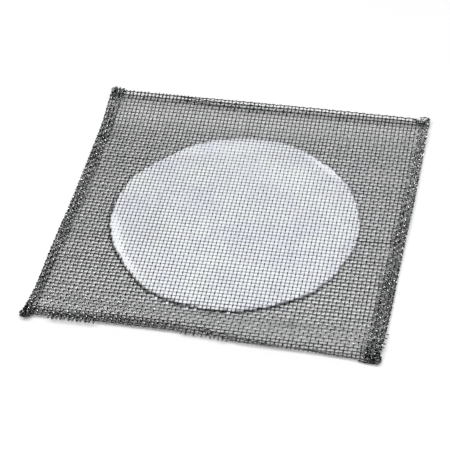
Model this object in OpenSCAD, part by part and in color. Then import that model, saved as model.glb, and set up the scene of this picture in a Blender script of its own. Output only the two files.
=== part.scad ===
// Laboratory wire gauze: a square of plain-weave iron wire with a hem turned on
// each side and a round ceramic centre pressed through the weave.
// X runs along the cross wires, Y runs from the front edge to the back edge.
// The ceramic lies flat on the bench at z = 0; the front and back edges curl up.

/* [Wire sheet] */
// Length of the sheet from the left fold to the right fold
sheet_x = 125; // [115:1:135]
// Length of the sheet from the front fold to the back fold, along the wire
sheet_y = 124; // [115:1:135]
// Diameter of the wire
wire_d = 0.4; // [0.3:0.05:0.5]
// Distance between neighbouring wires that run front to back
pitch_x = 1.45; // [1.3:0.05:1.8]
// Distance between neighbouring wires that run left to right
pitch_y = 1.63; // [1.4:0.05:2]
// Gap between two wires where one passes over the other
crossing_gap = 0.04; // [0.02:0.01:0.06]

/* [Hems] */
// Width of the left and right hems, which are turned over the top
side_hem = 5.2; // [4:0.1:7]
// Width of the front and back hems, which are turned under
end_hem = 5; // [4:0.1:7]
// Wires that run along each hem
hem_wires = 3; // [2:1:4]
// Bevel that rounds the folds
fold_bevel = 0.15; // [0.05:0.05:0.15]

/* [Curl of the front and back edges] */
// Flat wire left in front of the ceramic and behind it
flat_margin = 0.7; // [0.5:0.1:4]
// Slope of the raised front and back strips
curl_angle = 12; // [2:0.5:15]

/* [Ceramic centre] */
// Diameter of the ceramic
ceramic_d = 88.8; // [80:0.5:94]
// Thickness of the ceramic, centred on the weave
ceramic_t = 1.4; // [1.2:0.1:3]

/* [Hidden] */

// Height of the middle of the weave over the bench
mid_z = ceramic_t / 2;

// Half sizes of the sheet and of its flat middle, and the length of a raised strip
half_x = sheet_x / 2;
flat_y = ceramic_d / 2 + flat_margin;
strip_y = sheet_y / 2 - flat_y;

// Levels over the middle of the weave.  The lengthwise wires lie in the lower
// layer and the cross wires in the upper one, and a hem doubles its own wires.
inner = crossing_gap / 2;
single = inner + wire_d;
doubled = single + wire_d;
hem_low = doubled + crossing_gap;
hem_high = hem_low + wire_d;

// Least distance from a fold to the middle of the next wire: the folded wire, a
// clearance and half of the next wire
edge_inset = wire_d + fold_bevel + wire_d / 2;
// How far a cutting shape reaches past what it cuts
spare = 1;

// Places of the wires across and along the sheet
function wire_places(size, pitch) =
    let (n = floor((size - 2 * edge_inset) / pitch) + 1)
    [for (i = [0 : n - 1]) (i - (n - 1) / 2) * pitch];
columns = wire_places(sheet_x, pitch_x);
rows = wire_places(sheet_y, pitch_y);

function reversed(points) = [for (i = [len(points) - 1 : -1 : 0]) points[i]];

// Points of the bent section: the mitre at a bend, and a place along a raised strip
function mitre(side, level) = [side * (flat_y - level * tan(curl_angle / 2)), level];
function raised(side, s, level) =
    [side * (flat_y + s * cos(curl_angle) - level * sin(curl_angle)),
     s * sin(curl_angle) + level * cos(curl_angle)];

// Extrudes a section drawn in Y and Z along X
module along_x(length) {
    rotate([90, 0, 90]) linear_extrude(length, center = true) children();
}

// Extrudes a section drawn in X and Z along Y
module along_y(length) {
    rotate([90, 0, 0]) linear_extrude(length, center = true) children();
}

// Moves children from the bend line to the raised strip on one side
module on_raised_strip(side) {
    rotate([0, 0, side > 0 ? 0 : 180])
        translate([0, flat_y, 0])
            rotate([curl_angle, 0, 0]) children();
}

// Lengthwise wires, doubled below in the end hems and joined at the end folds
function warp_end(side) =
    [raised(side, strip_y - end_hem, -single),
     raised(side, strip_y - end_hem, -doubled),
     raised(side, strip_y - fold_bevel, -doubled),
     raised(side, strip_y, fold_bevel - doubled),
     raised(side, strip_y, -fold_bevel - inner),
     raised(side, strip_y - fold_bevel, -inner)];

module warp_section() {
    polygon(concat(
        [mitre(1, -single)], warp_end(1), [mitre(1, -inner), mitre(-1, -inner)],
        reversed(warp_end(-1)), [mitre(-1, -single)]));
}

// Spaces between neighbouring wires, and the spaces outside the outermost two
function spaces(places, fold) =
    let (walls = concat([-fold - spare], places, [fold + spare]))
    [for (i = [1 : len(walls) - 1])
        [walls[i - 1] + wire_d / 2, walls[i] - wire_d / 2]];

module warp_layer() {
    reach = 2 * raised(1, strip_y - wire_d, -inner)[0];
    difference() {
        along_x(sheet_x) warp_section();
        for (gap = spaces(columns, half_x))
            translate([gap[0], -reach / 2, -sheet_y / 2])
                cube([gap[1] - gap[0], reach, sheet_y]);
    }
}

// Cross wires, doubled on top in the side hems and joined at the side folds
function weft_end(side) =
    [[side * (half_x - side_hem), single],
     [side * (half_x - side_hem), doubled],
     [side * (half_x - fold_bevel), doubled],
     [side * half_x, doubled - fold_bevel],
     [side * half_x, inner + fold_bevel],
     [side * (half_x - fold_bevel), inner]];

module weft_section() {
    polygon(concat(weft_end(1), reversed(weft_end(-1))));
}

module weft_panel(places, start, end) {
    reach = 2 * (half_x - wire_d);
    difference() {
        translate([0, (start + end) / 2, 0]) along_y(end - start) weft_section();
        for (gap = spaces(places, end))
            translate([-reach / 2, gap[0], -spare])
                cube([reach, gap[1] - gap[0], 2 * spare]);
    }
}

module weft_layer() {
    lap = wire_d / 2;
    weft_panel([for (y = rows) if (abs(y) <= flat_y) y], -flat_y - lap, flat_y + lap);
    for (side = [-1, 1])
        on_raised_strip(side)
            weft_panel([for (y = rows) if (y > flat_y) y - flat_y], -lap, strip_y);
}

// Ties the two layers together where the folds meet
module corner_tie() {
    translate([half_x - wire_d / 2, strip_y - wire_d / 2, 0])
        cube([wire_d, wire_d, 2 * (doubled - fold_bevel)], center = true);
}

// Places of the wires along a hem, from its inner edge outwards
function hem_places(fold, width, pitch) =
    [for (i = [0 : hem_wires - 1]) fold - width + wire_d + i * pitch];

// Wire along a side hem, with both ends turned down into the end folds
module side_hem_wire() {
    foot = -inner - fold_bevel;
    function tail(side) =
        [raised(side, strip_y, hem_high), raised(side, strip_y, foot),
         raised(side, strip_y - wire_d, foot), raised(side, strip_y - wire_d, hem_low)];
    along_x(wire_d)
        polygon(concat(
            [mitre(1, hem_high)], tail(1), [mitre(1, hem_low), mitre(-1, hem_low)],
            reversed(tail(-1)), [mitre(-1, hem_high)]));
}

// Wire along an end hem, with both ends turned up into the side folds
module end_hem_wire() {
    foot = inner + fold_bevel;
    function tail(side) =
        [[side * half_x, -hem_high], [side * half_x, foot],
         [side * (half_x - wire_d), foot], [side * (half_x - wire_d), -hem_low]];
    along_y(wire_d) polygon(concat(tail(1), reversed(tail(-1))));
}

module wire_sheet() {
    color("dimgray")
        translate([0, 0, mid_z]) {
            warp_layer();
            weft_layer();
            for (side = [-1, 1], x = hem_places(half_x, side_hem, pitch_x))
                translate([side * x, 0, 0]) side_hem_wire();
            for (side = [-1, 1]) on_raised_strip(side) {
                for (end = [0, 1]) mirror([end, 0, 0]) corner_tie();
                for (y = hem_places(strip_y, end_hem, pitch_y))
                    translate([0, y, 0]) end_hem_wire();
            }
        }
}

// Channels that the wires fill in the two faces of the ceramic
module wire_channels() {
    depth = ceramic_t / 2 - inner;
    for (x = columns)
        translate([x, 0, -inner - depth])
            cube([wire_d, ceramic_d + spare, 2 * depth], center = true);
    for (y = rows)
        translate([0, y, inner + depth])
            cube([ceramic_d + spare, wire_d, 2 * depth], center = true);
}

module ceramic_disc() {
    color("whitesmoke")
        translate([0, 0, mid_z])
            difference() {
                cylinder(h = ceramic_t, d = ceramic_d, center = true, $fn = 180);
                wire_channels();
            }
}

wire_sheet();
ceramic_disc();
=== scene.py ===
"""Looks of a laboratory wire gauze: the woven iron sheet with a hem turned on each
side, the round ceramic centre pressed through it, and the studio round them.

X runs along the cross wires and Y from the front edge to the back edge.  Lengths
are millimetres, unless a description says metres, and become metres where a mesh
or the camera is made.
"""

import logging
import math
from dataclasses import dataclass, field
from enum import Enum

import bpy
import numpy as np
from mathutils import Matrix, Vector


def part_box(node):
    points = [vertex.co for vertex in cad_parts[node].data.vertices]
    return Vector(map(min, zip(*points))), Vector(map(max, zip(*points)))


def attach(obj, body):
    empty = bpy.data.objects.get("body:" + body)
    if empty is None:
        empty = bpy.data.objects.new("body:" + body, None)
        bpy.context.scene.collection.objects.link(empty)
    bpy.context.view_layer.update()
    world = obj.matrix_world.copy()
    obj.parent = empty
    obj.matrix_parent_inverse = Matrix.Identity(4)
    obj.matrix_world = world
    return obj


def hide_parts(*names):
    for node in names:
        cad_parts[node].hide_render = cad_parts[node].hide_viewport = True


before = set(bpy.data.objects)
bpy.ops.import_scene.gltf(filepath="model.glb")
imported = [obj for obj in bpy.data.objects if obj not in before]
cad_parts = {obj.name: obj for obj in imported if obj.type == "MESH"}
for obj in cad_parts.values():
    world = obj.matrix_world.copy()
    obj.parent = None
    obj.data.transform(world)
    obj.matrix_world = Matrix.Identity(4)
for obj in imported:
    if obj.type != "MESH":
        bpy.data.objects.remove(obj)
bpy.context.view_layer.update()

log = logging.getLogger("wire_gauze")

MM = 0.001
SHADE_LAYER = "shade"
WHITE = (1.0, 1.0, 1.0, 1.0)

# One number, or an array of numbers that are worked out together
Numbers = np.ndarray | float


def box_mm(node: str) -> tuple[np.ndarray, np.ndarray]:
    """Gives the corners of a CAD node's box.

    Args:
        node: Name of the CAD node.

    Returns:
        The lowest and the highest corner, in millimetres.
    """
    low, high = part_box(node)
    return np.array(low) / MM, np.array(high) / MM


def smooth_step(value: np.ndarray, low: float, high: float) -> np.ndarray:
    """Rises smoothly from 0 to 1 between two values.

    Args:
        value: Where to look.
        low: Value at which the rise starts.
        high: Value at which it ends.

    Returns:
        The share risen, from 0 to 1.
    """
    share = np.clip((value - low) / (high - low), 0.0, 1.0)
    return share * share * (3.0 - 2.0 * share)


def mesh_piece(
    name: str,
    points: np.ndarray,
    quads: np.ndarray,
    material: bpy.types.Material,
    shade: np.ndarray | None = None,
) -> bpy.types.Object:
    """Makes a smooth mesh piece of four-sided faces.

    Args:
        name: Name of the piece.
        points: Places of the vertices, in millimetres.
        quads: Four vertex numbers for each face.
        material: Finish of the piece.
        shade: Brightness of the finish at each vertex, 1 where it isn't changed.

    Returns:
        The new object, linked to the scene.
    """
    mesh = bpy.data.meshes.new(name)
    mesh.vertices.add(len(points))
    mesh.vertices.foreach_set("co", (points * MM).astype(np.float32).ravel())
    mesh.loops.add(quads.size)
    mesh.loops.foreach_set("vertex_index", quads.astype(np.int32).ravel())
    mesh.polygons.add(len(quads))
    mesh.polygons.foreach_set("loop_start", np.arange(len(quads), dtype=np.int32) * 4)
    mesh.update(calc_edges=True)
    if shade is not None:
        layer = mesh.attributes.new(SHADE_LAYER, "FLOAT", "POINT")
        layer.data.foreach_set("value", shade.astype(np.float32))
    mesh.validate()
    mesh.polygons.foreach_set("use_smooth", np.ones(len(mesh.polygons), bool))
    mesh.materials.append(material)
    piece = bpy.data.objects.new(name, mesh)
    bpy.context.scene.collection.objects.link(piece)
    return piece


def mount_piece(piece: bpy.types.Object, node: str) -> None:
    """Lets a piece stand for a CAD node.

    Args:
        piece: The finished piece.
        node: CAD node that it stands for.
    """
    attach(piece, "root")
    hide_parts(node)


class Run(Enum):
    """Direction in which a wire runs."""

    LENGTHWISE = "lengthwise"
    CROSS = "cross"

    @property
    def other(self) -> "Run":
        """Direction of the wires that it crosses."""
        return Run.CROSS if self is Run.LENGTHWISE else Run.LENGTHWISE

    @property
    def aside(self) -> np.ndarray:
        """Direction in the sheet that lies across a wire."""
        return np.array([1.0, 0.0, 0.0] if self is Run.LENGTHWISE else [0.0, 1.0, 0.0])


class Turn(Enum):
    """Side of the sheet that a hem is turned to, as the sign of its height."""

    OVER = 1.0
    UNDER = -1.0


@dataclass(frozen=True)
class EdgeProfile:
    """A size that changes slowly along one edge of the sheet.

    Attributes:
        start: The size at the left or front end of the edge.
        middle: The size half way along.
        end: The size at the right or back end.
        step: Half the height of a step in it.
        step_at: Place of the step along the edge, from -1 to 1.
        step_width: How softly the step is made, on the same scale.
    """

    start: float
    middle: float
    end: float
    step: float = 0.0
    step_at: float = 0.0
    step_width: float = 0.12

    def at(self, along: Numbers) -> Numbers:
        """Gives the size at places along the edge.

        Args:
            along: The places, from -1 at the start to 1 at the end.

        Returns:
            The size at each place.
        """
        lean = (self.end - self.start) / 2
        bow = (self.end + self.start) / 2 - self.middle
        step = self.step * np.tanh((along - self.step_at) / self.step_width)
        return self.middle + lean * along + bow * along**2 + step


@dataclass(frozen=True)
class HemPair:
    """The hems at both ends of the wires that run one way.

    Attributes:
        low: Distance from the middle of the sheet to the left or front fold.
        high: Distance from the middle of the sheet to the right or back fold.
        low_width: Width of the left or front hem.
        high_width: Width of the right or back hem.
        turn: Side that the flaps lie on.
        bend: Radius of a fold, to the middle of the cloth.
        stack: Half thickness of the cloth.
        fade: Distances past a hem's inner edge between which its finish sets in.
    """

    low: EdgeProfile
    high: EdgeProfile
    low_width: float
    high_width: float
    turn: Turn
    bend: float = 0.42
    stack: float = 0.4
    fade: tuple[float, float] = (-0.4, 0.8)

    def start(self, high: np.ndarray | bool, along: Numbers) -> Numbers:
        """Distance from the middle to where a fold starts, the right or back one if high."""
        edge = np.where(high, self.high.at(along), self.low.at(along))
        return edge - self.bend - self.stack

    def cut(self, high: bool) -> float:
        """Length of wire from the middle of the sheet to the end of a flap.

        Args:
            high: Whether the flap is the right or back one.

        Returns:
            The length along the wire, round the fold.
        """
        width = self.high_width if high else self.low_width
        flap = width - self.bend - self.stack
        return float(self.start(high, 0.0)) + math.pi * self.bend + flap

    def cover(self, place: np.ndarray, across: np.ndarray) -> np.ndarray:
        """Whether places lie in the hems, from 0, outside them, to 1.

        Args:
            place: Distance from the middle, towards the folds.
            across: Place along the folds.

        Returns:
            The share at each place.
        """
        high = place > 0
        along = np.clip(across / self.low.middle, -1, 1)
        width = np.where(high, self.high_width, self.low_width)
        inner = self.start(high, along) - width + self.bend
        return smooth_step(np.abs(place) - inner, *self.fade)

    def fold(
        self,
        place: np.ndarray,
        height: np.ndarray,
        along: np.ndarray,
        reach: float = 0.0,
    ) -> tuple[np.ndarray, np.ndarray]:
        """Folds both ends of the flat sheet.

        Args:
            place: Distance from the middle, on the unfolded sheet.
            height: Height over the middle of the cloth.
            along: Place along the folds, from -1 to 1.
            reach: How far a wire's loop stands out of the left or front fold.

        Returns:
            The place and the height after the fold.
        """
        side = np.sign(place)
        out = np.abs(place)
        start = self.start(place > 0, along) + np.where(place > 0, 0.0, reach)
        angle = np.clip((out - start) / self.bend, 0.0, math.pi)
        past = np.maximum(out - start - math.pi * self.bend, 0.0)
        layer = self.bend - self.turn.value * height
        folded = np.minimum(out, start) + layer * np.sin(angle) - past
        raised = self.turn.value * (self.bend - layer * np.cos(angle))
        return side * folded, raised


@dataclass(frozen=True)
class Drape:
    """How the sheet lies: flat in the middle, with its front and back edges curled up.

    Attributes:
        half: Distance from the middle of the sheet to its edges.
        mid_z: Height of the middle of the cloth over the bench.
        bend: Distance from the middle at which an edge starts to rise.
        ease: Width over which the rise sets in.
        front: Lift of the front edge.
        back: Lift of the back edge.
        side: Lift of the left and right edges, half way along.
        side_power: How late the side lifts set in, towards the left and right.
        corner: Extra lift of the back left corner.
        corner_power: How late that lift sets in, towards the back.
        probe: Distance over which the slope is measured.
    """

    half: float
    mid_z: float
    bend: float = 45.6
    ease: float = 3.5
    front: EdgeProfile = EdgeProfile(3.4, 2.9, 2.1)
    back: EdgeProfile = EdgeProfile(3.2, 3.05, 1.85)
    side: float = 0.35
    side_power: int = 6
    corner: float = 0.65
    corner_power: int = 8
    probe: float = 0.05

    def ramp(self, place: Numbers) -> Numbers:
        """Goes over from 0 to a slope of 1, softly round place 0."""
        return (place + np.sqrt(place**2 + self.ease**2)) / 2

    def rise(self, out: np.ndarray) -> np.ndarray:
        """Share of an edge's lift at a distance from the middle towards that edge."""
        flat = self.ramp(np.array(-self.bend))
        return (self.ramp(out - self.bend) - flat) / (self.ramp(self.half - self.bend) - flat)

    def lift(self, x: np.ndarray, y: np.ndarray) -> np.ndarray:
        """Height of the cloth over its flat middle.

        Args:
            x: Place across the sheet.
            y: Place along the sheet.

        Returns:
            The height at each place.
        """
        across = x / self.half
        along = y / self.half
        ends = np.where(
            y > 0,
            self.back.at(across) * self.rise(y),
            self.front.at(across) * self.rise(-y),
        )
        left = np.clip(-across, 0, 1) ** self.side_power
        corner = self.corner * left * np.clip(along, 0, 1) ** self.corner_power
        return ends + corner + self.side * across**self.side_power * (1 - along**2)

    def lay(self, x: np.ndarray, y: np.ndarray, height: np.ndarray) -> np.ndarray:
        """Lays points of the folded sheet on the bench.

        Args:
            x: Place across the sheet.
            y: Place along the sheet.
            height: Height over the middle of the cloth.

        Returns:
            Places over the bench, in millimetres, one row for each point.
        """
        step = self.probe
        slope_x = (self.lift(x + step, y) - self.lift(x - step, y)) / (2 * step)
        slope_y = (self.lift(x, y + step) - self.lift(x, y - step)) / (2 * step)
        z = self.mid_z + self.lift(x, y) + height
        return np.stack([x - height * slope_x, y - height * slope_y, z], axis=1)


@dataclass(frozen=True)
class Weave:
    """Spacing of a plain weave of two sets of crimped wires.

    Attributes:
        wire_d: Diameter of the wire.
        pitch_x: Distance between lengthwise wires.
        pitch_y: Distance between cross wires.
        shift_x: Place of the lengthwise wire nearest the middle.
        shift_y: Place of the cross wire nearest the middle.
        crimp_length: Height of a lengthwise wire's wave over the middle of the cloth.
        crimp_cross: Height of a cross wire's wave.
    """

    wire_d: float = 0.4
    pitch_x: float = 1.4535
    pitch_y: float = 1.6265
    shift_x: float = -0.222
    shift_y: float = 0.16
    crimp_length: float = 0.24
    crimp_cross: float = 0.16

    def lanes(self, run: Run) -> tuple[float, float]:
        """Places the wires that run one way.

        Args:
            run: Direction of the wires.

        Returns:
            Their pitch, and the place of wire number 0.
        """
        if run is Run.LENGTHWISE:
            return self.pitch_x, self.shift_x
        return self.pitch_y, self.shift_y

    def numbers(self, run: Run, hems: HemPair) -> list[int]:
        """Numbers the wires that run one way.

        Args:
            run: Direction of the wires.
            hems: Hems that the outermost wires lie in.

        Returns:
            The numbers of the wires between the cut ends of the hems.
        """
        pitch, shift = self.lanes(run)
        first = math.ceil((-hems.cut(False) + self.wire_d - shift) / pitch)
        last = math.floor((hems.cut(True) - self.wire_d - shift) / pitch)
        return list(range(first, last + 1))

    def wave(self, run: Run, number: int, along: np.ndarray) -> np.ndarray:
        """Height of a wire over the middle of the cloth.

        Args:
            run: Direction of the wire.
            number: Number of the wire in its set.
            along: Places along the wire.

        Returns:
            The height at each place.
        """
        pitch, shift = self.lanes(run.other)
        crimp = -self.crimp_length if run is Run.LENGTHWISE else self.crimp_cross
        sign = (-1) ** (number % 2)
        return sign * crimp * np.cos(math.pi * (along - shift) / pitch)


@dataclass(frozen=True)
class Bulge:
    """A wave of the pad's outline round its circle.

    Attributes:
        turns: Waves round the circle.
        size: Height of a wave.
        phase: Where the waves start, in degrees.
    """

    turns: int
    size: float
    phase: float

    def at(self, angle: np.ndarray) -> np.ndarray:
        """How far the outline lies outside its circle."""
        return self.size * np.cos(self.turns * angle + math.radians(self.phase))


@dataclass(frozen=True)
class PadRim:
    """The uneven outline of the ceramic, and the dark stain along it, painted partly as the
    rim's shade.

    Attributes:
        radius: Radius of the pad.
        reach: How far the outline's circle lies outside the radius.
        bulges: Waves of the outline.
        least_stain_and_shade: Strength of the stain and painted shade at the back right, its
            weakest.
        more_stain_and_shade: How much stronger it is at the front left.
        towards: Direction in which it grows, across and along the sheet.
        growth: Distances that way between which it grows.
        wire_at: Distance past the rim at which it darkens the wires most.
        wire_width: Width over which it darkens them.
    """

    radius: float
    reach: float = 0.45
    bulges: tuple[Bulge, ...] = (
        Bulge(1, 0.65, 123.0),
        Bulge(2, 0.35, 84.0),
        Bulge(3, 0.25, 113.0),
        Bulge(4, 0.35, 19.0),
        Bulge(5, 0.35, -121.0),
        Bulge(9, 0.2, 19.0),
        Bulge(23, 0.15, 0.0),
    )
    # Painted shade of the pad's rim mixed with a dark stain, darkest at the front left
    least_stain_and_shade: float = 0.3
    more_stain_and_shade: float = 0.62
    towards: tuple[float, float] = (-0.5, -0.87)
    growth: tuple[float, float] = (-15.0, 25.0)
    wire_at: float = 0.6
    wire_width: float = 0.8

    def margin(self, x: np.ndarray, y: np.ndarray) -> np.ndarray:
        """Measures how far inside the outline places lie.

        Args:
            x: Place across the sheet.
            y: Place along the sheet.

        Returns:
            The distance to the outline, below 0 outside it.
        """
        angle = np.arctan2(y, x)
        waves = sum(bulge.at(angle) for bulge in self.bulges)
        return self.radius + self.reach + waves - np.hypot(x, y)

    def stain_and_shade(self, x: np.ndarray, y: np.ndarray) -> np.ndarray:
        """Strength of the stain and painted rim shade towards each place, from 0 to 1."""
        grown = self.towards[0] * x + self.towards[1] * y
        return self.least_stain_and_shade + self.more_stain_and_shade * smooth_step(grown, *self.growth)

    def stain_and_shade_on_wires(self, x: np.ndarray, y: np.ndarray) -> np.ndarray:
        """Share of brightness the stain and painted rim shade take from the wires at each place.
        """
        past = -self.margin(x, y) - self.wire_at
        return np.exp(-((past / self.wire_width) ** 2)) * self.stain_and_shade(x, y)


@dataclass(frozen=True)
class BareLoops:
    """A stretch of the front fold where the loops stand out.

    Attributes:
        first: Left end of the stretch.
        last: Right end of the stretch.
        reach: How far the loops stand out.
        slide: How far the cross wires have slid away from the fold.
        slack: Distance from the middle of the fold over which they have slid.
        soft: Half the length over which the slide sets in at each end.
        paired: Whether short bits of cross wire tie the loops in pairs.
        tie_lap: How far a tie reaches past its two loops, in pitches.
        tie_height: Height of a tie over the middle of the cloth.
        tie_sections: Sections of a tie.
    """

    first: float
    last: float
    reach: float
    slide: float = 0.0
    slack: float = 2.2
    soft: float = 0.7
    paired: bool = False
    tie_lap: float = 0.15
    tie_height: float = 0.15
    tie_sections: int = 5

    @property
    def middle(self) -> float:
        """Place half way along the stretch."""
        return (self.first + self.last) / 2

    def slid(self, out: float, along: np.ndarray) -> np.ndarray:
        """How far a cross wire has slid away from the fold.

        Args:
            out: Place of the wire from the middle of the fold, on the unfolded sheet.
            along: Places along the wire.

        Returns:
            The shift at each place.
        """
        inside = (self.last - self.first) / 2 - np.abs(along - self.middle)
        bare = smooth_step(inside, -self.soft, self.soft)
        return bare * math.copysign(self.slide, out) * max(1.0 - abs(out) / self.slack, 0.0)


@dataclass(frozen=True)
class DarkStretch:
    """A stretch of one wire that is darker than the rest.

    Attributes:
        run: Direction of the wire.
        number: Number of the wire in its set.
        first: Left or front end of the stretch.
        last: Right or back end of the stretch.
        shade: Brightness of the finish there.
    """

    run: Run
    number: int
    first: float
    last: float
    shade: float = 0.15

    def at(self, run: Run, number: int, along: np.ndarray) -> np.ndarray:
        """Gives the brightness that it leaves a wire.

        Args:
            run: Direction of the wire.
            number: Number of the wire in its set.
            along: Places along the wire.

        Returns:
            The brightness at each place, 1 where it isn't changed.
        """
        if (run, number) != (self.run, self.number):
            return np.ones_like(along)
        return np.where((along > self.first) & (along < self.last), self.shade, 1.0)


@dataclass(frozen=True)
class WireTones:
    """Brightness of the iron, from wire to wire and along a wire.

    Attributes:
        wires: Least and greatest brightness of a wire.
        dull_share: Share of the wires that are duller than that.
        dull: Brightness of a dull wire beside the others.
        cross: Brightness of the cross wires in the front and back hems, darkened as painted
            shade.
        front_loops_painted_shade: Brightness of the lengthwise wires in the front hem, as
            painted shade.
        back_loops_painted_highlight: Brightness of the lengthwise wires in the back hem, as
            painted reflection.
        front: How much brighter all wires of the front hem are, along it.
        left: Brightness along the left hem.
        right: Brightness along the right hem.
        mottle: How much the brightness varies along a wire.
        hem_mottle: How much more it varies in the left and right hems.
        spot: Sections of a wire that have the same brightness.
    """

    wires: tuple[float, float] = (0.72, 1.28)
    dull_share: float = 0.06
    dull: float = 0.55
    # Painted shade on the hems' cross wires and front loops, painted reflection on the back
    # loops
    cross: float = 0.35
    front_loops_painted_shade: float = 0.75
    back_loops_painted_highlight: float = 1.35
    front: EdgeProfile = EdgeProfile(1.5, 1.15, 1.0)
    left: EdgeProfile = EdgeProfile(0.6, 0.95, 1.05)
    right: EdgeProfile = EdgeProfile(0.65, 1.05, 1.4)
    mottle: float = 0.2
    hem_mottle: float = 0.6
    spot: int = 4

    def wire(self, draws: np.random.Generator) -> float:
        """Draws the brightness of one wire."""
        tone = draws.uniform(*self.wires)
        return tone * self.dull if draws.uniform() < self.dull_share else tone

    def end_hem_painted_light(self, run: Run, across: np.ndarray, back: np.ndarray) -> np.ndarray:
        """Brightness of the wires in the front and back hems, with painted shade and reflection.

        Args:
            run: Direction of the wire.
            across: Places along the hem, from -1 to 1.
            back: Whether each place is in the back hem.

        Returns:
            The brightness at each place.
        """
        loops = np.where(back, self.back_loops_painted_highlight, self.front_loops_painted_shade)
        tone = loops if run is Run.LENGTHWISE else self.cross
        return tone * np.where(back, 1.0, self.front.at(across))

    def side_hem(self, along: np.ndarray, right: np.ndarray) -> np.ndarray:
        """Brightness of the wires in the right or left hem, at places from -1 to 1."""
        return np.where(right, self.right.at(along), self.left.at(along))

    def spots(self, side: np.ndarray, draws: np.random.Generator) -> np.ndarray:
        """Draws the light and dark spots along one wire.

        Args:
            side: Whether each section lies in the left or right hem, from 0 to 1.
            draws: Source of the random draws.

        Returns:
            The brightness of each section.
        """
        spots = draws.uniform(-1.0, 1.0, len(side) // self.spot + 1)
        mottle = self.mottle + self.hem_mottle * side
        return 1.0 + mottle * np.repeat(spots, self.spot)[: len(side)]


@dataclass
class WireBundle:
    """Round wires that make up one piece.

    Attributes:
        wire_d: Diameter of the wires.
        sides: Sides of a wire's section, an even number.
        points: Places of each wire's vertices, in millimetres.
        quads: Four vertex numbers for each face of each wire.
        shades: Brightness of the finish at each wire's vertices.
        count: Vertices so far.
    """

    wire_d: float
    sides: int = 6
    points: list[np.ndarray] = field(default_factory=list)
    quads: list[np.ndarray] = field(default_factory=list)
    shades: list[np.ndarray] = field(default_factory=list)
    count: int = 0

    def tube(self, line: np.ndarray, side: np.ndarray) -> np.ndarray:
        """Places the vertices of a wire.

        Args:
            line: Points of its middle line.
            side: Direction that lies more or less across it all along.

        Returns:
            The vertices, one section after the other.
        """
        ahead = np.gradient(line, axis=0)
        ahead /= np.linalg.norm(ahead, axis=1, keepdims=True)
        across = side - (ahead @ side)[:, None] * ahead
        across /= np.linalg.norm(across, axis=1, keepdims=True)
        up = np.cross(ahead, across)
        angle = 2 * math.pi * (np.arange(self.sides) + 0.5) / self.sides
        # The corners of a section lie a little outside the round wire, its flats inside.
        radius = self.wire_d / 2 / math.sqrt(math.cos(math.pi / self.sides))
        ring = np.cos(angle)[None, :, None] * across[:, None, :]
        ring = ring + np.sin(angle)[None, :, None] * up[:, None, :]
        return (line[:, None, :] + radius * ring).reshape(-1, 3)

    def faces(self, sections: int) -> np.ndarray:
        """Numbers the corners of a wire's faces.

        Args:
            sections: Number of its sections.

        Returns:
            Four vertex numbers for each face, those of the closed ends last.
        """
        first = np.arange(sections - 1)[:, None] * self.sides
        near = first + np.arange(self.sides)[None, :]
        far = first + (np.arange(self.sides)[None, :] + 1) % self.sides
        walls = np.stack([near, far, far + self.sides, near + self.sides], axis=2)
        fan = np.array([[0, k, k + 1, k + 2] for k in range(1, self.sides - 2, 2)])
        last = (sections - 1) * self.sides
        return np.concatenate([walls.reshape(-1, 4), fan[:, ::-1], fan + last])

    def add(self, line: np.ndarray, side: np.ndarray, shade: np.ndarray) -> None:
        """Adds a wire with closed ends.

        Args:
            line: Points of its middle line.
            side: Direction that lies more or less across it all along.
            shade: Brightness of the finish at each point of the line.
        """
        self.points.append(self.tube(line, side))
        self.quads.append(self.faces(len(line)) + self.count)
        self.shades.append(np.repeat(shade, self.sides))
        self.count += len(line) * self.sides

    def build(self, name: str, material: bpy.types.Material) -> bpy.types.Object:
        """Makes the piece.

        Args:
            name: Name of the piece.
            material: Finish of the wires.

        Returns:
            The new object.
        """
        piece = mesh_piece(
            name,
            np.concatenate(self.points),
            np.concatenate(self.quads),
            material,
            np.concatenate(self.shades),
        )
        mount_piece(piece, "wire_sheet")
        return piece


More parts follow.
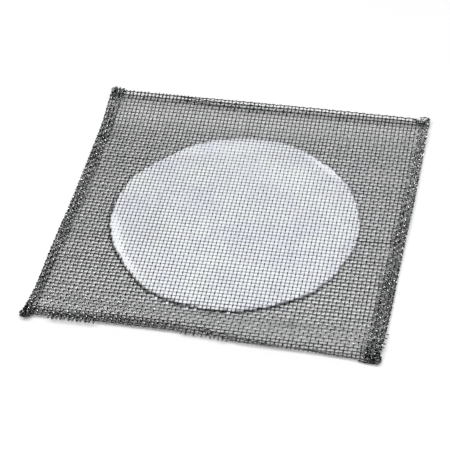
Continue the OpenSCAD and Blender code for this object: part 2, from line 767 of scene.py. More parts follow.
@dataclass
class WireSheet:
    """The woven iron sheet with its four hems.

    Attributes:
        weave: Spacing of the wires.
        drape: How the sheet lies on the bench.
        side_hems: Hems on the left and the right.
        end_hems: Hems on the front and the back.
        rim: Outline of the ceramic, and the stain and painted shade along it.
        loops: Stretches of the front fold with bare loops.
        dark: Stretches of single wires that are darker than the rest.
        tones: Brightness of the wires.
        rings_per_pitch: Sections of a wire between two crossings.
        rings_per_fold: Sections of a wire round a fold.
        least_step: Least distance between sections, as a share of the usual one.
        wander: How far a wire strays from its line.
        bows: Least and greatest length of each of the waves in which it strays.
        least_bow: Least height of such a wave, as a share of the greatest.
        ragged: How far a cut end strays from the flap's edge.
        seed: Start of the random draws.
        draws: Source of the random draws.
    """

    weave: Weave
    drape: Drape
    side_hems: HemPair
    end_hems: HemPair
    rim: PadRim
    loops: tuple[BareLoops, ...]
    dark: tuple[DarkStretch, ...]
    tones: WireTones = WireTones()
    rings_per_pitch: int = 4
    rings_per_fold: int = 7
    least_step: float = 0.125
    wander: float = 0.07
    bows: tuple[tuple[float, float], ...] = ((9.0, 18.0), (22.0, 45.0), (60.0, 140.0))
    least_bow: float = 0.3
    ragged: float = 0.45
    seed: int = 423
    draws: np.random.Generator = field(init=False)

    def __post_init__(self) -> None:
        """Starts the random draws."""
        self.draws = np.random.default_rng(self.seed)

    def hems(self, run: Run) -> HemPair:
        """Hems at the ends of the wires that run one way."""
        return self.end_hems if run is Run.LENGTHWISE else self.side_hems

    def stations(self, run: Run, place: float, start: float, end: float) -> np.ndarray:
        """Places of the sections along a wire, closer together round the folds.

        Args:
            run: Direction of the wire.
            place: Place of the wire across the sheet.
            start: Where the wire starts on the unfolded sheet.
            end: Where it ends.

        Returns:
            The places in order.
        """
        hems = self.hems(run)
        pitch, shift = self.weave.lanes(run.other)
        step = pitch / self.rings_per_pitch
        places = shift + step * np.arange(
            math.ceil((start - shift) / step), math.floor((end - shift) / step) + 1
        )
        arc = math.pi * hems.bend
        for side in (-1, 1):
            begin = float(hems.start(side > 0, place / self.drape.half))
            out = side * places
            places = places[(out < begin - step / 2) | (out > begin + arc + step / 2)]
            fold = side * np.linspace(begin, begin + arc, self.rings_per_fold)
            places = np.concatenate([places, fold])
        places = np.concatenate([places, [start, end]])
        places = np.sort(places[(places >= start) & (places <= end)])
        apart = np.diff(places) > self.least_step * step
        return places[np.concatenate([[True], apart])]

    def stray(self, along: np.ndarray) -> np.ndarray:
        """Bows one wire slowly and at random to either side of its line.

        Args:
            along: Places along the wire.

        Returns:
            The shift at each place.
        """
        count = len(self.bows)
        size = self.wander * self.draws.uniform(self.least_bow, 1.0, count)
        length = self.draws.uniform(*np.transpose(self.bows))
        phase = self.draws.uniform(0.0, 2 * math.pi, count)
        waves = np.sin(2 * math.pi * along[:, None] / length + phase)
        return waves @ size

    def reach(self, place: float) -> float:
        """How far the loop of a lengthwise wire stands out of the front fold.

        Args:
            place: Place of the wire across the sheet.

        Returns:
            The distance, 0 outside the bare stretches.
        """
        for stretch in self.loops:
            if stretch.first < place < stretch.last:
                return stretch.reach
        return 0.0

    def slide(self, place: float, along: np.ndarray) -> np.ndarray:
        """How far a cross wire has slid away from the front fold at the bare loops.

        Args:
            place: Place of the wire along the unfolded sheet.
            along: Places along the wire.

        Returns:
            The shift at each place.
        """
        slide = np.zeros_like(along)
        for stretch in self.loops:
            start = self.end_hems.start(False, stretch.middle / self.drape.half)
            fold = float(start + math.pi / 2 * self.end_hems.bend)
            slide += stretch.slid(place + fold, along)
        return slide

    def ties(self) -> list[np.ndarray]:
        """Runs the bits of cross wire that tie bare loops in pairs.

        Returns:
            The points of each tie's middle line, in millimetres.
        """
        pitch, shift = self.weave.lanes(Run.LENGTHWISE)
        lines = []
        for stretch in self.loops:
            if not stretch.paired:
                continue
            first = math.ceil((stretch.first - shift) / pitch)
            last = math.floor((stretch.last - shift) / pitch)
            lap, sections = stretch.tie_lap, stretch.tie_sections
            for number in range(first + first % 2, last, 2):
                u = shift + pitch * np.linspace(number - lap, number + (1 + lap), sections)
                start = self.end_hems.start(False, u / self.drape.half)
                v = -start - stretch.reach - self.end_hems.bend
                w = np.full(sections, stretch.tie_height)
                lines.append(self.placed(u, v, w, stretch.reach))
        return lines

    def placed(
        self, u: np.ndarray, v: np.ndarray, w: np.ndarray, reach: float = 0.0
    ) -> np.ndarray:
        """Folds and drapes points of the unfolded sheet.

        Args:
            u: Place across the unfolded sheet.
            v: Place along the unfolded sheet.
            w: Height over the middle of the cloth.
            reach: How far a wire's loop stands out of the front fold.

        Returns:
            Places over the bench, in millimetres.
        """
        half = self.drape.half
        x, over = self.side_hems.fold(u, w, np.clip(v / half, -1, 1))
        y, height = self.end_hems.fold(v, over, np.clip(x / half, -1, 1), reach)
        return self.drape.lay(x, y, height)

    def shade(self, run: Run, number: int, line: np.ndarray) -> np.ndarray:
        """Brightness of the finish along one wire.

        Args:
            run: Direction of the wire.
            number: Number of the wire in its set.
            line: Points of the wire's middle line.

        Returns:
            The brightness at each point, 1 where it isn't changed.
        """
        x, y = line[:, 0], line[:, 1]
        half = self.drape.half
        shade = np.full(len(line), self.tones.wire(self.draws))
        for stretch in self.dark:
            shade *= stretch.at(run, number, y if run is Run.LENGTHWISE else x)
        # Painted shade of the pad's rim, mixed with a dark stain, darkens the wires near it
        shade *= 1.0 - self.rim.stain_and_shade_on_wires(x, y)
        # Painted shade and reflection on the wires of the front and back hems
        end_painted_light = self.tones.end_hem_painted_light(run, x / half, y > 0)
        shade *= 1.0 - (1.0 - end_painted_light) * self.end_hems.cover(y, x)
        side = self.side_hems.cover(x, y)
        side_tone = self.tones.side_hem(y / half, x > 0)
        shade *= 1.0 - (1.0 - side_tone) * side
        return shade * self.tones.spots(side, self.draws)

    def wire(self, run: Run, number: int) -> tuple[np.ndarray, np.ndarray]:
        """Runs one wire of the sheet.

        Args:
            run: Direction of the wire.
            number: Number of the wire in its set.

        Returns:
            The points of its middle line and the brightness of its finish at each.
        """
        pitch, shift = self.weave.lanes(run)
        place = shift + number * pitch
        hems = self.hems(run)
        start = -hems.cut(False) + self.draws.uniform(-self.ragged, self.ragged)
        end = hems.cut(True) + self.draws.uniform(-self.ragged, self.ragged)
        along = self.stations(run, place, start, end)
        across = place + self.stray(along)
        height = self.weave.wave(run, number, along)
        if run is Run.LENGTHWISE:
            line = self.placed(across, along, height, self.reach(place))
        else:
            line = self.placed(along, across + self.slide(place, along), height)
        return line, self.shade(run, number, line)

    def piece(
        self, name: str, run: Run, numbers: list[int], material: bpy.types.Material
    ) -> bpy.types.Object:
        """Makes one piece of several wires.

        Args:
            name: Name of the piece.
            run: Direction of its wires.
            numbers: Numbers of its wires.
            material: Finish of the wires.

        Returns:
            The new object.
        """
        bundle = WireBundle(self.weave.wire_d)
        for number in numbers:
            line, shade = self.wire(run, number)
            bundle.add(line, run.aside, shade)
        return bundle.build(name, material)

    def build(self, material: bpy.types.Material) -> list[bpy.types.Object]:
        """Makes the sheet in four pieces.

        Args:
            material: Finish of the wires.

        Returns:
            The pieces: lengthwise wires left and right, cross wires front and back.
        """
        pieces = []
        for run, low, high in ((Run.LENGTHWISE, "left", "right"), (Run.CROSS, "front", "back")):
            numbers = self.weave.numbers(run, self.hems(run.other))
            lower = [number for number in numbers if number < 0]
            upper = [number for number in numbers if number >= 0]
            for side, wires in ((low, lower), (high, upper)):
                pieces.append(self.piece(f"{run.value}_wires_{side}", run, wires, material))
        return pieces


@dataclass(frozen=True)
class Knot:
    """A corner where the ends of the folded wires are curled into a lump.

    Attributes:
        middle: Its middle, in millimetres over the bench.
        spread: Half sizes of the lump across, along and up.
        curls: Number of curled ends.
        curl: Least and greatest radius of a curl.
        shade: Least and greatest brightness of their finish.
        arc: Least and greatest length of a curl, in radians.
        room: Least distance that a curl's middle may stray each way.
        sections: Sections of a curled end.
    """

    middle: tuple[float, float, float]
    spread: tuple[float, float, float]
    curls: int
    curl: tuple[float, float]
    shade: tuple[float, float] = (0.3, 1.3)
    arc: tuple[float, float] = (2.0, 4.5)
    room: float = 0.1
    sections: int = 11

    def lines(self, draws: np.random.Generator) -> list[np.ndarray]:
        """Middle lines of the curled ends.

        Args:
            draws: Source of the random draws.

        Returns:
            The points of each line, in millimetres.
        """
        lines = []
        middle, spread = np.array(self.middle), np.array(self.spread)
        low, high = middle[2] - spread[2], middle[2] + spread[2]
        for _ in range(self.curls):
            turn = draws.uniform(0.0, 2 * math.pi)
            radius = draws.uniform(*self.curl)
            arc = turn + np.linspace(0.0, draws.uniform(*self.arc), self.sections)
            tilt = draws.uniform(-1.0, 1.0, 2)
            ring = radius * np.stack([np.cos(arc), np.sin(arc), np.zeros_like(arc)], axis=1)
            ring[:, 2] = ring[:, 0] * tilt[0] + ring[:, 1] * tilt[1]
            room = np.maximum(spread - radius, self.room)
            line = middle + room * draws.uniform(-1, 1, 3) + ring
            line[:, 2] = np.clip(line[:, 2], low, high)
            lines.append(line)
        return lines


@dataclass(frozen=True)
class LooseEnd:
    """A cut wire end that sticks out of the sheet.

    Attributes:
        root: Where it leaves the sheet, in millimetres over the bench.
        tip: Where it ends.
        bow: How far it is bowed upwards.
        sections: Sections of the end.
    """

    root: tuple[float, float, float]
    tip: tuple[float, float, float]
    bow: float = 0.25
    sections: int = 5

    def line(self) -> np.ndarray:
        """Runs the end.

        Returns:
            The points of its middle line, in millimetres.
        """
        share = np.linspace(0.0, 1.0, self.sections)[:, None]
        line = np.array(self.root) * (1 - share) + np.array(self.tip) * share
        line[:, 2] += self.bow * np.sin(math.pi * share[:, 0])
        return line


@dataclass
class LooseWires:
    """The curled corners and the cut ends that stick out of the sheet.

    Attributes:
        sheet: The sheet that they belong to.
        knots: The curled corners.
        ends: The cut ends.
        shade: Least and greatest brightness of the finish of the ends.
        tie_shade: Least and greatest brightness of the ties between bare loops.
        side: A direction that none of them runs in.
        seed: Start of the random draws.
    """

    sheet: WireSheet
    knots: tuple[Knot, ...]
    ends: tuple[LooseEnd, ...]
    shade: tuple[float, float] = (0.3, 1.3)
    tie_shade: tuple[float, float] = (0.08, 0.25)
    side: tuple[float, float, float] = (0.1, 0.1, 1.0)
    seed: int = 7

    def build(self, material: bpy.types.Material) -> bpy.types.Object:
        """Makes the loose wires.

        Args:
            material: Finish of the wires.

        Returns:
            The new object.
        """
        draws = np.random.default_rng(self.seed)
        lines = [(end.line(), self.shade) for end in self.ends]
        lines += [(tie, self.tie_shade) for tie in self.sheet.ties()]
        for knot in self.knots:
            lines += [(curl, knot.shade) for curl in knot.lines(draws)]
        bundle = WireBundle(self.sheet.weave.wire_d)
        for line, shade in lines:
            bundle.add(line, np.array(self.side), np.full(len(line), draws.uniform(*shade)))
        return bundle.build("loose_wires", material)


@dataclass(frozen=True)
class Patch:
    """A patch of the pad where the ceramic is thicker or thinner over the wires.

    Attributes:
        x: Place of its middle across the pad.
        y: Place of its middle along the pad.
        length: Its length.
        width: Its width.
        angle: Direction of its length from the cross wires, in degrees.
        strength: From -1, where the wires show most, to 1, where they are hidden.
        power: How steeply it fades at its edge.
    """

    x: float
    y: float
    length: float
    width: float
    angle: float
    strength: float
    power: float = 1.5

    def cover(self, x: np.ndarray, y: np.ndarray) -> np.ndarray:
        """Gives how much more of the wires the ceramic hides.

        Args:
            x: Place across the pad.
            y: Place along the pad.

        Returns:
            The share hidden at each place, below 0 where more shows.
        """
        turn = math.radians(self.angle)
        along = (x - self.x) * math.cos(turn) + (y - self.y) * math.sin(turn)
        across = (y - self.y) * math.cos(turn) - (x - self.x) * math.sin(turn)
        distance = (2 * along / self.length) ** 2 + (2 * across / self.width) ** 2
        return self.strength * np.exp(-(distance**self.power))


@dataclass(frozen=True)
class PadLines:
    """Lines of vertices that cross the pad one way, several to a cell of the weave.

    Attributes:
        place: Place of each line.
        cell: Number of the cell that it lies in.
        middle: Place of the middle of that cell.
        cushion: Height of the surface along the line, from 0 to 1.
        film: How much the wire beside the line shows through, from 0 to 1; partly painted shade
            by cross wires.
    """

    place: np.ndarray
    cell: np.ndarray
    middle: np.ndarray
    cushion: np.ndarray
    film: np.ndarray


@dataclass(frozen=True)
class WireFilm:
    """The thin ceramic over the wires, through which they show.

    Attributes:
        lengthwise: Brightness over the lengthwise wires.
        cross: Brightness over the cross wires.
        knot: Brightness where a lengthwise wire passes under, as a share of both.
        show: Least and greatest strength with which the wires show through.
        fill: How much darker a cell without ceramic would be.
    """

    lengthwise: float = 0.62
    cross: float = 0.55
    knot: float = 0.62
    show: tuple[float, float] = (0.1, 1.4)
    fill: float = 0.3

    def shade(
        self, across: PadLines, along: PadLines, cover: np.ndarray, fill: np.ndarray
    ) -> np.ndarray:
        """Brightness of the ceramic, darker where the wires show through.

        Args:
            across: Lines of vertices across the pad.
            along: Lines of vertices along the pad.
            cover: How much more of the wires is hidden at each place.
            fill: How full the cell is.

        Returns:
            The brightness at each place.
        """
        film_x, film_y = across.film[:, None], along.film[None, :]
        odd = (across.cell[:, None] + along.cell[None, :]) % 2 == 1
        knots = (film_x == 1.0) & (film_y == 1.0) & odd
        shows = np.clip(1.0 - cover, *self.show)
        shade = 1.0 - (1.0 - self.lengthwise) * film_x * shows
        shade = shade * (1.0 - (1.0 - self.cross) * film_y * shows)
        shade = shade * np.where(knots, self.knot, 1.0)
        return shade * (1.0 - self.fill * (1.0 - fill))


@dataclass(frozen=True)
class BinderAndRimShade:
    """The dark binder that shows past the pad's white rim, painted partly as the rim's shade.

    Attributes:
        reach: How far it reaches past the rim where the stain is full.
        start: Distance past the rim at which the surface drops to it.
        height: Its height over the middle of the cloth, below 0 under it.
        dark: How much darker than the pad it is where the stain and painted shade are full.
        fade: Distances past the rim between which it sets in.
    """

    reach: float = 0.7
    start: float = 0.2
    height: float = -0.25
    dark: float = 0.9
    fade: tuple[float, float] = (-0.35, 0.05)

    def shade(self, margin: np.ndarray, stain_and_shade: np.ndarray) -> np.ndarray:
        """Brightness that binder and painted rim shade leave the pad at a distance inside the
        rim.
        """
        return 1.0 - self.dark * stain_and_shade * smooth_step(-margin, *self.fade)


@dataclass(frozen=True)
class Specks:
    """White specks in every other opening of the weave outside the pad's front rim.

    Attributes:
        past: Least and greatest distance past the rim.
        arc: Directions between which they lie, in degrees.
        height: Their height over the middle of the cloth.
        shade: Their brightness.
    """

    past: tuple[float, float] = (1.2, 2.2)
    arc: tuple[float, float] = (-117.0, -80.0)
    height: float = 0.45
    shade: float = 0.9

    def faces(self, across: PadLines, along: PadLines, rim: PadRim) -> np.ndarray:
        """Picks the faces that are specks.

        Args:
            across: Lines of vertices across the pad.
            along: Lines of vertices along the pad.
            rim: Outline of the pad.

        Returns:
            True for the faces of the specks.
        """
        x, y = across.middle[:-1, None], along.middle[None, :-1]
        past, angle = -rim.margin(x, y), np.degrees(np.arctan2(y, x))
        near = (past > self.past[0]) & (past < self.past[1])
        near &= (angle > self.arc[0]) & (angle < self.arc[1])
        near &= (across.cell[:-1, None] + along.cell[None, :-1]) % 2 == 0
        open_x, open_y = (
            (lines.cushion[:-1] > 0) & (lines.cushion[1:] > 0) for lines in (across, along)
        )
        return near & open_x[:, None] & open_y[None, :]


def grid_faces(shape: tuple[int, int]) -> np.ndarray:
    """Numbers the corners of the faces of a grid of vertices.

    Args:
        shape: Vertices each way.

    Returns:
        Four vertex numbers for each face, on the grid of the faces.
    """
    corners = np.arange(shape[0] * shape[1]).reshape(shape)
    return np.stack(
        [corners[:-1, :-1], corners[1:, :-1], corners[1:, 1:], corners[:-1, 1:]], axis=2
    )


def slab_faces(upper: np.ndarray, count: int) -> np.ndarray:
    """Numbers the corners of the faces of a slab.

    Args:
        upper: Four vertex numbers for each face of its upper side.
        count: Vertices of the upper side.  Those of the lower side follow them.

    Returns:
        Four vertex numbers for each face of both sides and of the wall between them.
    """
    edges = np.concatenate([upper[:, [k, (k + 1) % 4]] for k in range(4)]).tolist()
    known = {tuple(edge) for edge in edges}
    rim = np.array([edge for edge in edges if (edge[1], edge[0]) not in known])
    wall = np.stack([rim[:, 1], rim[:, 0], rim[:, 0] + count, rim[:, 1] + count], axis=1)
    return np.concatenate([upper, upper[:, ::-1] + count, wall])


@dataclass
class CeramicCentre:
    """The round white pad pressed through the weave.

    Attributes:
        weave: Spacing of the wires that it grips.
        rim: Outline of the pad, and the stain and painted shade along it.
        thickness: Thickness of the pad.
        groove: Height of the ceramic over the middle of the cloth along the wires.
        crown: Height of the ceramic over the middle of the cloth between the wires.
        splits: Shares of a cell at which the surface has vertices.
        cushion: Height of the surface at those shares, from 0 to 1.
        film_length: How much a lengthwise wire shows through at those shares.
        film_cross_and_shade: How much a cross wire shows through at those shares, more in front
            as painted shade.
        spare_cells: Cells that are laid out past the radius on each side.
        least_fill: Height of the lowest cushion, as a share of the highest.
        least_lower: Least depth of the lower face under the middle of the cloth.
        edge: Width over which the pad thins towards its rim.
        rim_height: Height that is left at the rim, as a share.
        ragged: How far the rim strays from the outline in a cell.
        patches: Patches where the wires show less or more.
        most_filled: Share of a groove that a patch can fill.
        wire_film: The ceramic over the wires.
        binder_and_shade: The dark binder along the rim, painted partly as the rim's shade.
        specks: The specks outside the rim.
        seed: Start of the random draws.
    """

    weave: Weave
    rim: PadRim
    thickness: float
    groove: float = 0.08
    crown: float = 0.56
    splits: tuple[float, ...] = (0.0, 0.2, 0.5, 0.8)
    cushion: tuple[float, ...] = (0.0, 0.8, 1.0, 0.8)
    film_length: tuple[float, ...] = (1.0, 0.25, 0.0, 0.25)
    # Painted shade: a cross wire shows through more on its front side than behind it
    film_cross_and_shade: tuple[float, ...] = (1.0, 0.1, 0.0, 0.5)
    spare_cells: int = 2
    least_fill: float = 0.82
    least_lower: float = 0.3
    edge: float = 1.3
    rim_height: float = 0.35
    ragged: float = 0.35
    patches: tuple[Patch, ...] = (
        Patch(-42.0, -14.0, 30.0, 5.5, -72.0, 0.62),
        Patch(-35.0, -27.0, 20.0, 4.5, -50.0, 0.6),
        Patch(27.0, 32.5, 26.0, 3.5, -40.0, 0.6),
        Patch(-29.0, -8.0, 30.0, 16.0, -68.0, -0.4),
        Patch(8.0, 26.0, 34.0, 16.0, -10.0, 0.15),
        Patch(-14.0, 38.0, 56.0, 9.0, 10.0, 0.35),
    )
    most_filled: float = 0.85
    wire_film: WireFilm = WireFilm()
    binder_and_shade: BinderAndRimShade = BinderAndRimShade()
    specks: Specks = Specks()
    seed: int = 88

    def lines(self, run: Run) -> PadLines:
        """Lays out the lines of vertices that follow the wires one way.

        Args:
            run: Direction of the wires.

        Returns:
            The lines, in order.
        """
        pitch, shift = self.weave.lanes(run)
        cells = math.ceil(self.rim.radius / pitch) + self.spare_cells
        number = np.repeat(np.arange(-cells, cells), len(self.splits))
        share = np.tile(self.splits, 2 * cells)
        film = self.film_length if run is Run.LENGTHWISE else self.film_cross_and_shade
        return PadLines(
            place=shift + (number + share) * pitch,
            cell=number + cells,
            middle=shift + (number + 0.5) * pitch,
            cushion=np.tile(self.cushion, 2 * cells),
            film=np.tile(film, 2 * cells),
        )

    def height(
        self, cushion: np.ndarray, cover: np.ndarray, fill: np.ndarray, margin: np.ndarray
    ) -> np.ndarray:
        """Height of the upper face over the middle of the cloth.

        Args:
            cushion: Height of the cushions between the wires, from 0 to 1.
            cover: How much more ceramic lies there.
            fill: How full the cell is.
            margin: Distance inside the rim.

        Returns:
            The height at each place.
        """
        share = cushion + (1.0 - cushion) * np.clip(cover, 0.0, self.most_filled)
        height = self.groove + (self.crown - self.groove) * share * fill
        height = height + (self.thickness / 2 - self.crown) * np.clip(cover, 0.0, 1.0)
        thin = np.sqrt(np.clip(margin / self.edge, 0.0, 1.0))
        height = height * (self.rim_height + (1.0 - self.rim_height) * thin)
        return np.where(margin < -self.binder_and_shade.start, self.binder_and_shade.height, height)

    def inside(self, x: np.ndarray, y: np.ndarray, stray: np.ndarray) -> np.ndarray:
        """Picks the faces of the ceramic and of the binder, with its painted shade, along its
        rim.

        Args:
            x: Place of each vertex across the pad.
            y: Place of each vertex along the pad.
            stray: How far the rim strays outwards in the cell of each vertex.

        Returns:
            True for the faces that are picked.
        """
        middle_x = (x[:-1, :-1] + x[1:, 1:]) / 2
        middle_y = (y[:-1, :-1] + y[1:, 1:]) / 2
        past = -(self.rim.margin(middle_x, middle_y) + stray[:-1, :-1])
        return past < self.binder_and_shade.reach * self.rim.stain_and_shade(middle_x, middle_y)

    def slab(self, x: np.ndarray, y: np.ndarray, height: np.ndarray) -> np.ndarray:
        """Places the vertices of the upper face and of the lower face under it.

        Args:
            x: Place across the pad.
            y: Place along the pad.
            height: Height of the upper face over the middle of the cloth.

        Returns:
            Places over the bench, in millimetres, those of the lower face last.
        """
        middle = self.thickness / 2
        depth = np.clip(np.abs(height), self.least_lower, middle)
        upper = np.stack([x, y, middle + height], axis=1)
        lower = np.stack([x, y, middle - depth], axis=1)
        return np.concatenate([upper, lower])

    def build(self, material: bpy.types.Material) -> bpy.types.Object:
        """Makes the pad.

        Args:
            material: Finish of the pad.

        Returns:
            The new object.
        """
        draws = np.random.default_rng(self.seed)
        across, along = self.lines(Run.LENGTHWISE), self.lines(Run.CROSS)
        x, y = np.meshgrid(across.place, along.place, indexing="ij")
        cells = (across.cell[-1] + 1, along.cell[-1] + 1)
        own_cell = np.ix_(across.cell, along.cell)
        fill = draws.uniform(self.least_fill, 1.0, cells)[own_cell]
        stray = self.ragged * draws.uniform(-1.0, 1.0, cells)[own_cell]

        # Height and brightness at every vertex
        margin = self.rim.margin(x, y) + stray
        cover = sum(patch.cover(x, y) for patch in self.patches)
        height = self.height(np.outer(across.cushion, along.cushion), cover, fill, margin)
        shade = self.wire_film.shade(across, along, cover, fill)
        # Dark stain and painted rim shade, also over the openings just past the rim
        shade = shade * self.binder_and_shade.shade(margin, self.rim.stain_and_shade(x, y))

        # The specks have a height and a brightness of their own
        corners = grid_faces(x.shape)
        specks = self.specks.faces(across, along, self.rim)
        raised = corners[specks].ravel()
        height.flat[raised] = self.specks.height
        shade.flat[raised] = self.specks.shade

        # Only the faces inside the rim and those of the specks are made
        shown = corners[self.inside(x, y, stray) | specks]
        used, quads = np.unique(shown, return_inverse=True)
        pad = mesh_piece(
            "ceramic_pad",
            self.slab(x.flat[used], y.flat[used], height.flat[used]),
            slab_faces(quads.reshape(-1, 4), len(used)),
            material,
            np.tile(shade.flat[used], 2),
        )
        mount_piece(pad, "ceramic_disc")
        return pad


def new_material(name: str) -> tuple[bpy.types.Material, bpy.types.Node]:
    """Makes a material with one Principled BSDF.

    Args:
        name: Name of the material.

    Returns:
        The material and its shader node.
    """
    material = bpy.data.materials.new(name)
    material.use_nodes = True
    shader = material.node_tree.nodes["Principled BSDF"]
    return material, shader


def cloudy_surface(
    detail: float = 3.0, low: float = 0.35, high: float = 0.65
) -> bpy.types.NodeTree:
    """Makes the node group for a finish that varies in clouds and with the shade layer.

    Args:
        detail: Number of times that finer clouds are laid over the large ones.
        low: Value of the noise at which a cloud starts.
        high: Value of the noise at which it is full.

    Returns:
        The group, with a colour and a roughness that vary over the surface.
    """
    group = bpy.data.node_groups.new("cloudy_surface", "ShaderNodeTree")
    for name, side, kind, default in (
        ("Colour", "INPUT", "NodeSocketColor", WHITE),
        ("Cloud Colour", "INPUT", "NodeSocketColor", WHITE),
        ("Cloud Size", "INPUT", "NodeSocketFloat", 0.02),
        ("Smooth", "INPUT", "NodeSocketFloat", 0.3),
        ("Rough", "INPUT", "NodeSocketFloat", 0.4),
        ("Colour", "OUTPUT", "NodeSocketColor", WHITE),
        ("Roughness", "OUTPUT", "NodeSocketFloat", 0.5),
    ):
        socket = group.interface.new_socket(name=name, in_out=side, socket_type=kind)
        socket.default_value = default

    nodes = group.nodes
    source = nodes.new("NodeGroupInput")
    result = nodes.new("NodeGroupOutput")
    place = nodes.new("ShaderNodeTexCoord")
    scaled = nodes.new("ShaderNodeVectorMath")
    scaled.operation = "DIVIDE"
    noise = nodes.new("ShaderNodeTexNoise")
    noise.inputs["Scale"].default_value = 1.0
    noise.inputs["Detail"].default_value = detail
    spread = nodes.new("ShaderNodeMapRange")
    spread.inputs["From Min"].default_value = low
    spread.inputs["From Max"].default_value = high
    clouds = nodes.new("ShaderNodeMix")
    clouds.data_type = "RGBA"
    shade = nodes.new("ShaderNodeAttribute")
    shade.attribute_name = SHADE_LAYER
    shaded = nodes.new("ShaderNodeVectorMath")
    shaded.operation = "MULTIPLY"
    rough = nodes.new("ShaderNodeMix")

    for node, output, target, entry in (
        (place, "Object", scaled, 0),
        (source, "Cloud Size", scaled, 1),
        (scaled, "Vector", noise, "Vector"),
        (noise, "Fac", spread, "Value"),
        (spread, "Result", clouds, "Factor"),
        (source, "Colour", clouds, "A"),
        (source, "Cloud Colour", clouds, "B"),
        (clouds, "Result", shaded, 0),
        (shade, "Fac", shaded, 1),
        (shaded, "Vector", result, "Colour"),
        (spread, "Result", rough, "Factor"),
        (source, "Smooth", rough, "A"),
        (source, "Rough", rough, "B"),
        (rough, "Result", result, "Roughness"),
    ):
        group.links.new(node.outputs[output], target.inputs[entry])
    return group


@dataclass(frozen=True)
class CloudyFinish:
    """A finish that varies in soft clouds.

    Attributes:
        name: Name of the material.
        colour: Colour between the clouds.
        cloud_colour: Colour in the clouds.
        cloud_size: Size of the clouds, in metres.
        smooth: Roughness between the clouds.
        rough: Roughness in the clouds.
        metallic: 1 for a metal and 0 for anything else.
    """

    name: str
    colour: tuple[float, float, float]
    cloud_colour: tuple[float, float, float]
    cloud_size: float
    smooth: float
    rough: float
    metallic: float

    def material(self, surface: bpy.types.NodeTree) -> bpy.types.Material:
        """Makes the finish.

        Args:
            surface: Node group that varies the colour and the roughness.

        Returns:
            The material.
        """
        material, shader = new_material(self.name)
        shader.inputs["Metallic"].default_value = self.metallic
        nodes, links = material.node_tree.nodes, material.node_tree.links
        varied = nodes.new("ShaderNodeGroup")
        varied.node_tree = surface
        for socket, value in (
            ("Colour", (*self.colour, 1.0)),
            ("Cloud Colour", (*self.cloud_colour, 1.0)),
            ("Cloud Size", self.cloud_size),
            ("Smooth", self.smooth),
            ("Rough", self.rough),
        ):
            varied.inputs[socket].default_value = value
        links.new(varied.outputs["Colour"], shader.inputs["Base Color"])
        links.new(varied.outputs["Roughness"], shader.inputs["Roughness"])
        return material


IRON = CloudyFinish(
    name="oxidised_iron",
    colour=(0.211, 0.211, 0.216),
    cloud_colour=(0.178, 0.186, 0.19),
    cloud_size=0.012,
    smooth=0.18,
    rough=0.24,
    metallic=1.0,
)
CERAMIC = CloudyFinish(
    name="white_ceramic",
    colour=(0.905, 0.925, 0.945),
    cloud_colour=(0.83, 0.84, 0.925),
    cloud_size=0.016,
    smooth=0.7,
    rough=0.85,
    metallic=0.0,
)


@dataclass(frozen=True)
class BenchFinish:
    """Plain pale bench.

    Attributes:
        colour: Its colour.
        roughness: Its roughness.
        specular: Strength of its mirror reflection.
    """

    colour: tuple[float, float, float] = (0.93, 0.93, 0.93)
    roughness: float = 0.9
    specular: float = 0.0

    def material(self) -> bpy.types.Material:
        """Makes the finish.

        Returns:
            The material.
        """
        material, shader = new_material("pale_bench")
        shader.inputs["Base Color"].default_value = (*self.colour, 1.0)
        shader.inputs["Roughness"].default_value = self.roughness
        shader.inputs["Specular IOR Level"].default_value = self.specular
        return material


def direction(azimuth: float, elevation: float) -> Vector:
    """Points from the middle of the gauze to a lamp or the camera.

    Args:
        azimuth: Angle round the gauze, in degrees from the front edge to the right.
        elevation: Angle over the horizon, in degrees.

    Returns:
        The direction, of length 1.
    """
    turn, rise = math.radians(azimuth), math.radians(elevation)
    level = math.cos(rise)
    return Vector((math.sin(turn) * level, -math.cos(turn) * level, math.sin(rise)))


@dataclass(frozen=True)
class Softbox:
    """A flat soft lamp that faces the gauze.

    Attributes:
        name: Name of the lamp.
        azimuth: Where it hangs round the gauze, in degrees from the front edge.
        elevation: Height of its middle over the horizon, in degrees.
        distance: Distance from the gauze, in metres.
        width: Width of the lamp, in metres.
        height: Height of the lamp, in metres.
        power: Power of the lamp, in watts.
    """

    name: str
    azimuth: float
    elevation: float
    distance: float
    width: float
    height: float
    power: float

    def build(self) -> None:
        """Hangs the lamp."""
        towards = direction(self.azimuth, self.elevation)
        lamp = bpy.data.lights.new(self.name, "AREA")
        lamp.shape = "RECTANGLE"
        lamp.size, lamp.size_y = self.width, self.height
        lamp.energy = self.power
        holder = bpy.data.objects.new(self.name, lamp)
        holder.location = towards * self.distance
        holder.rotation_euler = (-towards).to_track_quat("-Z", "Y").to_euler()
        bpy.context.scene.collection.objects.link(holder)


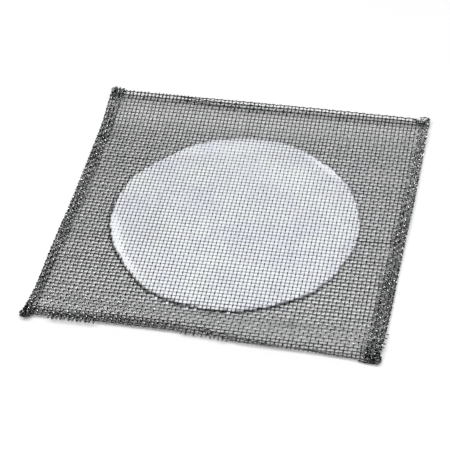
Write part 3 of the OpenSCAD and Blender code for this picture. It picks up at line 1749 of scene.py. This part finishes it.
@dataclass(frozen=True)
class Studio:
    """Bench, soft light and camera.

    Attributes:
        bench_side: Side of the square bench, in metres.
        bench_drop: How far the bench lies under the gauze, in millimetres.
        softboxes: Lamps round the gauze.
        sky: Brightness of the surroundings.
        azimuth: Where the camera stands round the gauze, in degrees from the front edge.
        elevation: Height of the camera over the horizon, in degrees.
        roll: Turn of the camera about its own axis, in degrees.
        distance: Distance of the camera, in millimetres.
        aim: How far the camera's axis passes the middle of the weave, right and up.
        lens: Focal length, in millimetres.
        sensor: Width of the sensor, in millimetres.
        sight: Least and greatest distance that the camera sees, in metres.
    """

    bench_side: float = 6.0
    bench_drop: float = 0.02
    softboxes: tuple[Softbox, ...] = (
        Softbox(
            "front_softbox",
            azimuth=0.0,
            elevation=64.0,
            distance=1.2,
            width=1.2,
            height=0.8,
            power=18.4,
        ),
        Softbox(
            "back_strip",
            azimuth=180.0,
            elevation=5.0,
            distance=2.0,
            width=4.0,
            height=0.35,
            power=100.0,
        ),
    )
    sky: float = 0.08
    azimuth: float = 14.26
    elevation: float = 43.63
    roll: float = -4.32
    distance: float = 621.3
    aim: tuple[float, float] = (3.99, 1.92)
    lens: float = 137.9
    sensor: float = 36.0
    sight: tuple[float, float] = (0.01, 20.0)

    def bench(self) -> bpy.types.Object:
        """Makes the plain pale bench under the gauze.

        Returns:
            The new object.
        """
        half = self.bench_side / 2 / MM
        corners = [(-half, -half), (half, -half), (half, half), (-half, half)]
        points = np.array([(x, y, -self.bench_drop) for x, y in corners])
        floor = mesh_piece("bench", points, np.array([[0, 1, 2, 3]]), BenchFinish().material())
        return floor

    def light(self) -> None:
        """Hangs the softboxes and makes the dim surroundings."""
        for softbox in self.softboxes:
            softbox.build()
        world = bpy.data.worlds.new("surroundings")
        bpy.context.scene.world = world
        world.use_nodes = True
        background = world.node_tree.nodes["Background"]
        background.inputs["Color"].default_value = WHITE
        background.inputs["Strength"].default_value = self.sky
        bpy.context.scene.view_settings.view_transform = "Standard"

    def camera(self, mid_z: float) -> None:
        """Makes the camera.

        Args:
            mid_z: Height of the middle of the weave, in millimetres.
        """
        azimuth, roll = math.radians(self.azimuth), math.radians(self.roll)
        back = direction(self.azimuth, self.elevation)
        level = Vector((math.cos(azimuth), math.sin(azimuth), 0.0))
        up = back.cross(level)
        right = level * math.cos(roll) + up * math.sin(roll)
        above = up * math.cos(roll) - level * math.sin(roll)
        place = back * self.distance - right * self.aim[0] - above * self.aim[1]
        place.z += mid_z
        data = bpy.data.cameras.new("camera")
        data.lens = self.lens
        data.sensor_width = self.sensor
        data.clip_start, data.clip_end = self.sight
        camera = bpy.data.objects.new("camera", data)
        turn = Matrix((right, above, back)).transposed().to_4x4()
        camera.matrix_world = Matrix.Translation(place * MM) @ turn
        bpy.context.scene.collection.objects.link(camera)
        bpy.context.scene.camera = camera


def gauze_hems(half: float) -> tuple[HemPair, HemPair]:
    """Sizes the four hems.

    Args:
        half: Distance from the middle of the sheet to its folds in the CAD.

    Returns:
        The left and right hems, and the front and back hems.
    """
    sides = HemPair(
        low=EdgeProfile(half + 1.4, half - 0.3, half - 1.1),
        high=EdgeProfile(half - 2.2, half - 0.45, half + 0.7),
        low_width=4.6,
        high_width=5.2,
        turn=Turn.OVER,
    )
    ends = HemPair(
        low=EdgeProfile(half - 3.7, half - 3.5, half - 1.6, step=0.9, step_at=0.1),
        high=EdgeProfile(half + 0.5, half + 0.4, half + 0.3, step=-0.3, step_at=-0.45),
        low_width=5.0,
        high_width=4.8,
        turn=Turn.UNDER,
    )
    return sides, ends


BARE_LOOPS = (
    BareLoops(-55.0, -38.0, reach=1.4, slide=1.3, paired=True),
    BareLoops(-8.0, 9.0, reach=1.2),
)
DARK_STRETCHES = (
    DarkStretch(Run.CROSS, -3, 41.5, 62.0),
    DarkStretch(Run.CROSS, 17, -54.0, -37.0),
    DarkStretch(Run.LENGTHWISE, -3, 44.0, 63.0),
)
KNOTS = (
    Knot((-62.6, -58.2, 3.0), (1.7, 1.2, 0.8), curls=30, curl=(0.4, 0.9), shade=(0.03, 0.4)),
    Knot((57.6, -59.2, 1.9), (3.1, 2.4, 0.8), curls=60, curl=(0.6, 1.7)),
    Knot((59.5, 60.0, 3.2), (2.2, 1.6, 0.7), curls=26, curl=(0.4, 1.0)),
    Knot((-59.8, 62.0, 4.6), (1.3, 0.9, 0.6), curls=14, curl=(0.4, 0.8)),
)
LOOSE_ENDS = (
    LooseEnd((59.6, -49.6, 2.2), (61.6, -49.1, 2.2)),
    LooseEnd((59.4, -51.7, 2.2), (61.3, -51.0, 2.3)),
    LooseEnd((59.2, -53.9, 2.2), (61.2, -53.4, 2.1)),
    LooseEnd((59.0, -55.8, 2.1), (60.9, -55.2, 2.2)),
    LooseEnd((60.0, 60.2, 3.0), (62.4, 61.6, 3.3)),
    LooseEnd((53.4, -60.2, 2.0), (53.6, -61.6, 2.0)),
)


def main() -> None:
    """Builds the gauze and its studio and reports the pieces."""
    logging.basicConfig(level=logging.INFO, format="%(message)s")
    sheet_low, sheet_high = box_mm("wire_sheet")
    disc_low, disc_high = box_mm("ceramic_disc")
    half = (sheet_high[0] - sheet_low[0]) / 2
    thickness = disc_high[2] - disc_low[2]

    surface = cloudy_surface()
    iron = IRON.material(surface)
    weave = Weave()
    rim = PadRim((disc_high[0] - disc_low[0]) / 2)
    side_hems, end_hems = gauze_hems(half)
    drape = Drape(half, mid_z=thickness / 2)
    sheet = WireSheet(weave, drape, side_hems, end_hems, rim, BARE_LOOPS, DARK_STRETCHES)
    pieces = sheet.build(iron)
    pad = CeramicCentre(weave, rim, thickness)
    pieces.append(pad.build(CERAMIC.material(surface)))
    pieces.append(LooseWires(sheet, KNOTS, LOOSE_ENDS).build(iron))

    studio = Studio()
    pieces.append(studio.bench())
    studio.light()
    studio.camera(thickness / 2)
    for piece in pieces:
        mesh = piece.data
        log.info("%s: %d vertices, %d faces", piece.name, len(mesh.vertices), len(mesh.polygons))


if __name__ == "__main__":
    main()
